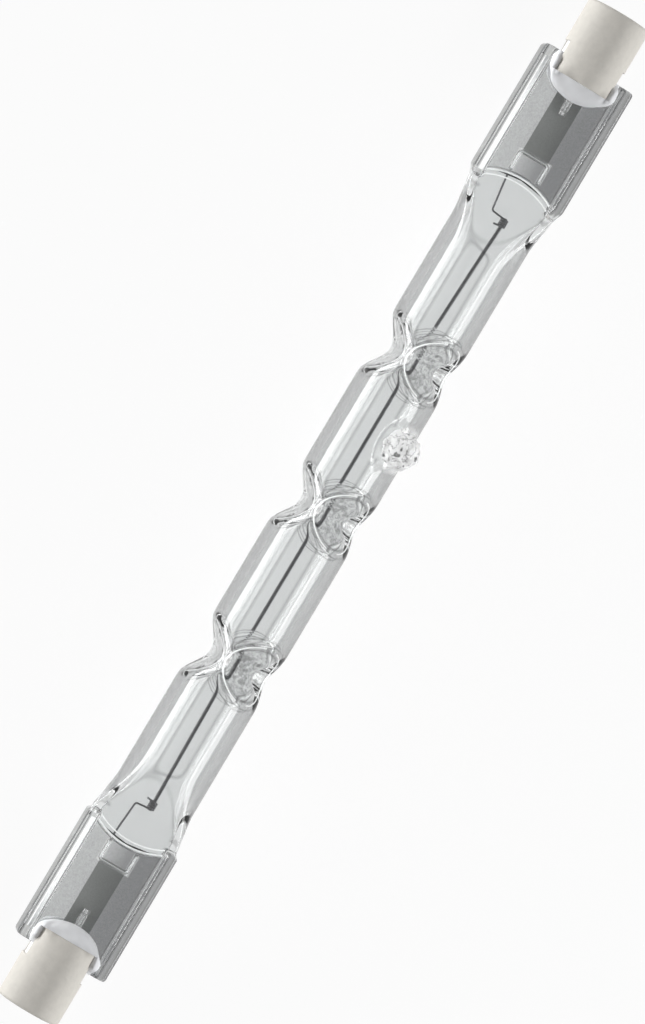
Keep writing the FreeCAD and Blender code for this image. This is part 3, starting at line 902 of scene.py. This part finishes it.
def place_on_lamp(tree):
    """Give the distances from the lamp's middle, across it and up from its axis, in metres."""
    coordinates = tree.nodes.new("ShaderNodeTexCoord")
    split = tree.nodes.new("ShaderNodeSeparateXYZ")
    tree.links.new(coordinates.outputs["Object"], split.inputs["Vector"])
    up = calculated(tree, "SUBTRACT", split.outputs["Z"], AXIS.z)
    return calculated(tree, "ABSOLUTE", split.outputs["X"]), split.outputs["Y"], up


def ray_kinds(tree):
    """Give 1 for what looks straight on, and 1 for what sees a surface by glass or metal."""
    path = tree.nodes.new("ShaderNodeLightPath")
    glossy, through = path.outputs["Is Glossy Ray"], path.outputs["Is Transmission Ray"]
    return path.outputs["Is Camera Ray"], calculated(tree, "MAXIMUM", glossy, through)


def material(name, color, roughness, metallic=0.0, noise=0.0, scale=400.0, bump=0.0):
    """Make a plain surface whose colour and relief vary with a fine noise."""
    made = bpy.data.materials.new(name)
    made.use_nodes = True
    tree = made.node_tree
    shader = tree.nodes["Principled BSDF"]
    shader.inputs["Roughness"].default_value = roughness
    shader.inputs["Metallic"].default_value = metallic
    texture = noise_value(tree, scale, 5.0)
    dimmer = tuple(value * (1 - noise) for value in color)
    tree.links.new(mixed(tree, texture, dimmer, color), shader.inputs["Base Color"])
    if bump:
        relief = tree.nodes.new("ShaderNodeBump")
        relief.inputs["Strength"].default_value = 1.0
        relief.inputs["Distance"].default_value = bump
        tree.links.new(texture, relief.inputs["Height"])
        tree.links.new(relief.outputs["Normal"], shader.inputs["Normal"])
    return made


def window(tree, value, start, end):
    """Give 1 where the value, in metres, lies between two places in millimetres, and else 0."""
    off_centre = calculated(tree, "SUBTRACT", value, (start + end) / 2 * MM)
    off_centre = calculated(tree, "ABSOLUTE", off_centre)
    half = (end - start) / 2
    return step_mm(tree, off_centre, half + GAP_BLUR, half - GAP_BLUR)


def over_gaps(tree, from_middle, across, from_axis):
    """Give 1 over the shining gaps round the hairpins and the outer pins, and 0 elsewhere."""
    gap = WIRE_RADIUS + WIRE_GAP
    bend, leg = -HAIRPIN_X, HAIRPIN_HALF_WIDTH
    places = (
        (window(tree, from_middle, bend - gap, bend + gap),
         window(tree, across, -leg - gap, leg + gap)),
        (window(tree, from_middle, -CAVITY_START, bend),
         window(tree, from_axis, leg - gap, leg + gap)),
        (window(tree, from_middle, -PIN_GAP_END, -PINCH_START),
         window(tree, across, -PIN_RADIUS, PIN_RADIUS)),
    )
    share = 0.0
    for along, aside in places:
        share = calculated(tree, "MAXIMUM", product(tree, along, aside), share)
    return share


def with_painted_web_shade(tree, body):
    """Paint shade on the seals' webs up to the arc at the hollow's end, but not over the gaps."""
    from_middle, across, up = place_on_lamp(tree)
    from_axis = calculated(tree, "ABSOLUTE", across)
    off_middle = calculated(tree, "ABSOLUTE", up)
    squared = calculated(tree, "POWER", from_axis, 2)
    sag = calculated(tree, "MULTIPLY", squared, 0.5 / (CAVITY_END_RADIUS * MM))
    to_arc = calculated(tree, "ADD", from_middle, sag)
    start, end = (-CAVITY_START - distance for distance in WEB_BEFORE_ARC)
    sealed = step_mm(tree, to_arc, start, end)
    start, end = (HALF_WIDTH - distance for distance in WEB_INSIDE_EDGE)
    between_ribs = step_mm(tree, from_axis, start, end)
    on_face = step_mm(tree, off_middle, *WEB_OFF_MIDDLE)
    off_gaps = calculated(tree, "SUBTRACT", 1.0, over_gaps(tree, from_middle, across, from_axis))
    # Painted shade: grey, darker towards -Y as a painted shadow, with a fine mottle
    web = mixed(tree, step_mm(tree, across, *WEB_SHADOW_DARK_TO_LIGHT), WEB_SHADE_DARK, WEB_SHADE_LIGHT)
    web = times(tree, web, mottled(tree, WEB_GRAIN, WEB_TINTS))
    return mixed(tree, product(tree, sealed, between_ribs, on_face, off_gaps), body, web)


def with_painted_rib_shade(tree, body, from_axis, in_seal):
    """Paint shade on the outer edge of the seals' ribs."""
    place = calculated(tree, "MULTIPLY", from_axis, 1 / (HALF_WIDTH * MM))
    return mixed(tree, in_seal, body, times(tree, body, tint_ramp(tree, place, RIB_SHADE_TINTS)))


def with_dent_rim_shade(tree, body):
    """Paint a dark line of shade on both sides of each dent's rim, and a mottle in the dent."""
    rim = tree.nodes.new("ShaderNodeAttribute")
    rim.attribute_name = "rim"
    distance = rim.outputs["Fac"]
    place = calculated(tree, "MULTIPLY_ADD", distance, 0.5, 0.5)
    body = times(tree, body, tint_ramp(tree, place, RIM_SHADE_TINTS))
    in_dent = smooth_step(tree, distance, *DENT_FROM_RIM)
    return mixed(tree, in_dent, body, times(tree, body, mottled(tree, DENT_GRAIN, DENT_TINTS)))


def with_painted_side_shade(tree, body, across, up, in_seal):
    """Paint dark lines of shade along the tube's sides, where its outer skin slants away."""
    squares = [calculated(tree, "POWER", distance, 2) for distance in (across, up)]
    radius = calculated(tree, "SQRT", calculated(tree, "ADD", *squares))
    start, end = (TUBE_RADIUS - distance for distance in WALL_BELOW_SKIN)
    beyond_wall = step_mm(tree, radius, start, end)
    start, end = (TUBE_RADIUS + distance for distance in TIP_ABOVE_SKIN)
    below_tip = step_mm(tree, radius, start, end)
    off_seal = calculated(tree, "SUBTRACT", 1.0, in_seal)
    on_tube = product(tree, beyond_wall, below_tip, off_seal)
    facing = tree.nodes.new("ShaderNodeLayerWeight")
    facing.inputs["Blend"].default_value = 0.5
    side_shade = times(tree, body, tint_ramp(tree, facing.outputs["Facing"], SLANT_SHADE_TINTS))
    return mixed(tree, on_tube, body, side_shade)


def quartz_material():
    """Make clear quartz painted with shade: grey sealed webs, dark lines on sides, ribs and dents.

    The greys of the seals and sides are in its outer skin alone, so that its hollow and the gaps
    round the metal stay bright.
    """
    made = material("quartz", CLEAR_QUARTZ, 0.0, noise=0.01, scale=90.0, bump=0.00002)
    tree = made.node_tree
    shader = tree.nodes["Principled BSDF"]
    shader.inputs["Transmission Weight"].default_value = 1.0
    shader.inputs["IOR"].default_value = QUARTZ_IOR
    from_middle, across, up = place_on_lamp(tree)
    from_axis = calculated(tree, "ABSOLUTE", across)
    start, end = (distance - PINCH_END for distance in SEAL_BEFORE_END)
    in_seal = step_mm(tree, from_middle, start, end)
    body = with_painted_web_shade(tree, shader.inputs["Base Color"].links[0].from_socket)
    body = with_painted_rib_shade(tree, body, from_axis, in_seal)
    body = with_dent_rim_shade(tree, body)
    body = with_painted_side_shade(tree, body, across, up, in_seal)
    tree.links.new(body, shader.inputs["Base Color"])
    return made


def melt_material():
    """Make the crinkled quartz of the melted-off tip."""
    made = material("melted_quartz", (0.97, 0.98, 0.98), 0.1, scale=1500.0, bump=0.0003)
    tree = made.node_tree
    shader = tree.nodes["Principled BSDF"]
    shader.inputs["Transmission Weight"].default_value = 0.6
    shader.inputs["IOR"].default_value = 1.2
    tree.links.new(mottled(tree, MELT_GRAIN, MELT_TINTS), shader.inputs["Base Color"])
    return made


def lead_material():
    """Make the lead's dark wire, with a painted highlight where it lies sealed in the glass."""
    made = material("lead_wire", (0.08, 0.08, 0.085), 0.35, metallic=0.8, noise=0.2)
    tree = made.node_tree
    shader = tree.nodes["Principled BSDF"]
    dark = shader.inputs["Base Color"].links[0].from_socket
    start, end = (-CAVITY_START - distance for distance in LEAD_ROUND_CAVITY_START)
    sealed = step_mm(tree, place_on_lamp(tree)[0], start, end)
    tree.links.new(mixed(tree, sealed, dark, SEALED_WIRE_HIGHLIGHT), shader.inputs["Base Color"])
    return made


def floor_material():
    """Make the pale floor. What looks at it straight or by glass or metal sees it nearly white."""
    made = bpy.data.materials.new("floor")
    made.use_nodes = True
    tree = made.node_tree
    plain = tree.nodes["Principled BSDF"]
    plain.inputs["Base Color"].default_value = (0.9, 0.9, 0.9, 1)
    plain.inputs["Roughness"].default_value = 0.9
    glow = tree.nodes.new("ShaderNodeEmission")
    glow.inputs["Color"].default_value = (1, 1, 1, 1)
    straight_on, by_glass = ray_kinds(tree)
    across = calculated(tree, "ABSOLUTE", place_on_lamp(tree)[1])
    near = step_mm(tree, across, FLOOR_FAR, FLOOR_NEAR)
    difference = FLOOR_BY_GLASS - FLOOR_FAR_BY_GLASS
    seen = calculated(tree, "MULTIPLY_ADD", near, difference, FLOOR_FAR_BY_GLASS)
    seen = calculated(tree, "MULTIPLY", by_glass, seen)
    share = calculated(tree, "MULTIPLY_ADD", straight_on, FLOOR_STRAIGHT_ON, seen)
    blend = tree.nodes.new("ShaderNodeMixShader")
    tree.links.new(share, blend.inputs["Fac"])
    tree.links.new(plain.outputs["BSDF"], blend.inputs[1])
    tree.links.new(glow.outputs["Emission"], blend.inputs[2])
    tree.links.new(blend.outputs["Shader"], tree.nodes["Material Output"].inputs["Surface"])
    return made


# Scene

def out_of_seal(angle):
    """Give the direction at an angle from the seal's upper face towards its +Y edge."""
    turn = math.radians(angle)
    return Vector((0, math.sin(turn), math.cos(turn)))


def view_axes():
    """Give the photograph's right, up and back directions in the row frame."""
    along = Vector((1, 0, 0))
    back = out_of_seal(VIEW_FROM_SEAL)
    across = back.cross(along)
    turn = math.radians(AXIS_IN_IMAGE)
    right = along * math.cos(turn) - across * math.sin(turn)
    up = along * math.sin(turn) + across * math.cos(turn)
    return right, up, back


def add_camera():
    """Look at the lamp as the photograph does, from far off."""
    right, up, back = view_axes()
    height = IMAGE_HEIGHT / PIXELS_PER_MM * MM
    data = bpy.data.cameras.new("camera")
    data.sensor_width = SENSOR_SIZE
    data.lens = SENSOR_SIZE * CAMERA_DISTANCE / height
    data.clip_start = 0.01
    data.clip_end = 20.0
    camera = bpy.data.objects.new("camera", data)
    bpy.context.scene.collection.objects.link(camera)
    turn = Matrix((right, up, back)).transposed().to_4x4()
    target = AXIS - right * CENTRE_SHIFT / PIXELS_PER_MM * MM
    camera.matrix_world = Matrix.Translation(target + back * CAMERA_DISTANCE) @ turn
    bpy.context.scene.camera = camera


def add_strip_light(name, angle, distance, length, width, radiance):
    """Hang a long soft light beside the lamp. The angle is from the view towards the seal's +Y."""
    back = out_of_seal(VIEW_FROM_SEAL + angle)
    data = bpy.data.lights.new(name, "AREA")
    data.shape = "RECTANGLE"
    data.size = length
    data.size_y = width
    data.energy = radiance * math.pi * length * width
    light = bpy.data.objects.new(name, data)
    bpy.context.scene.collection.objects.link(light)
    along = Vector((1, 0, 0))
    turn = Matrix((along, back.cross(along), back)).transposed().to_4x4()
    light.matrix_world = Matrix.Translation(AXIS + back * distance) @ turn


def add_floor(material_made):
    """Lay a wide pale floor."""
    half = 1.5
    corners = [(-half, -half, 0), (half, -half, 0), (half, half, 0), (-half, half, 0)]
    mesh = bpy.data.meshes.new("floor")
    mesh.from_pydata(corners, [], [(0, 1, 2, 3)])
    mesh.materials.append(material_made)
    floor = bpy.data.objects.new("floor", mesh)
    bpy.context.scene.collection.objects.link(floor)


def set_world():
    """Light the room evenly and dimly. Glass and metal show it nearly white."""
    world = bpy.data.worlds.new("room")
    world.use_nodes = True
    tree = world.node_tree
    background = tree.nodes["Background"]
    background.inputs["Color"].default_value = (1, 1, 1, 1)
    straight_on, by_glass = ray_kinds(tree)
    seen = calculated(tree, "MAXIMUM", by_glass, straight_on)
    strength = calculated(tree, "MULTIPLY_ADD", seen, ROOM_BY_GLASS - ROOM_LIGHT, ROOM_LIGHT)
    tree.links.new(strength, background.inputs["Strength"])
    bpy.context.scene.world = world


def paint(node, material_made):
    """Give a CAD node its finish."""
    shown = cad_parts[node]
    shown.data.materials.clear()
    shown.data.materials.append(material_made)


def dress_envelope():
    """Build the quartz envelope, its tip, and painted highlights along its dents, hollow and ribs.
    """
    shells = envelope_shells()
    outside, hollow, gaps = shells[0], shells[1], shells[2:]
    glass = piece("envelope_glass", shells, quartz_material(), "envelope")
    rims = [rim_distance(outside, TUBE_RADIUS, 0.0)]
    rims += [rim_distance(hollow, TUBE_RADIUS - TUBE_WALL, TUBE_WALL)]
    rims += [numpy.ones(len(gap[0])) for gap in gaps]
    attribute = glass.data.attributes.new("rim", "FLOAT", "POINT")
    attribute.data.foreach_set("value", numpy.concatenate(rims))
    tip = piece("exhaust_tip", [tip_shell()], melt_material(), "envelope")
    glass.visible_shadow = False
    tip.visible_shadow = False
    # Painted highlights: opaque white tubes in the glass along the hollow's end, the ribs and the
    # dents' rims
    bright = material("painted_highlight", (0.95, 0.96, 0.96), 0.2)
    for side in SIDES:
        piece("highlight_edges_" + side, painted_highlight_edges(side), bright, "envelope")
    piece("highlight_rims", dent_rim_highlights(), bright, "envelope")


def dress_metal(materials):
    """Build the wires, caps and cement, and paint the pieces that keep their CAD shape."""
    piece("filament_coil", filament_shells(), materials["tungsten"], "filament")
    for side in SIDES:
        lead = [tube_along(lead_path(side), WIRE_RADIUS, 12, outward=SIDES[side] > 0)]
        piece("lead_wire_" + side, lead, materials["lead_wire"], "lead_" + side)
        cap, node = cap_shells(side), "ceramic_cap_" + side
        piece("cap_body_" + side, cap, materials["ceramic"], node, 35.0)
        laid, node = cement_shells(side), "cement_" + side
        piece("cement_mass_" + side, laid, materials["cement"], node, 60.0)
        paint("foil_" + side, materials["foil"])
        paint("outer_pin_" + side, materials["pin"])
        paint("contact_" + side, materials["contact"])


MATERIALS = {
    "tungsten": material("tungsten", (0.05, 0.05, 0.055), 0.5, metallic=0.6, noise=0.2),
    "lead_wire": lead_material(),
    "foil": material("foil", (0.3, 0.31, 0.3), 0.5, metallic=0.3, noise=0.25, scale=300.0),
    "pin": material("pin", (0.6, 0.6, 0.6), 0.12, metallic=1.0, noise=0.1),
    "ceramic": material("ceramic", (0.8, 0.77, 0.71), 0.75, noise=0.16, scale=1600.0, bump=0.00002),
    "cement": material("cement", (0.96, 0.97, 0.99), 0.85, noise=0.08, scale=700.0, bump=0.00003),
    "contact": material("contact", (0.62, 0.62, 0.6), 0.35, metallic=1.0, noise=0.1),
}

dress_envelope()
dress_metal(MATERIALS)
add_floor(floor_material())
set_world()
add_camera()
for strip in STRIPS:
    add_strip_light(*strip)
bpy.context.scene.view_settings.view_transform = "Standard"
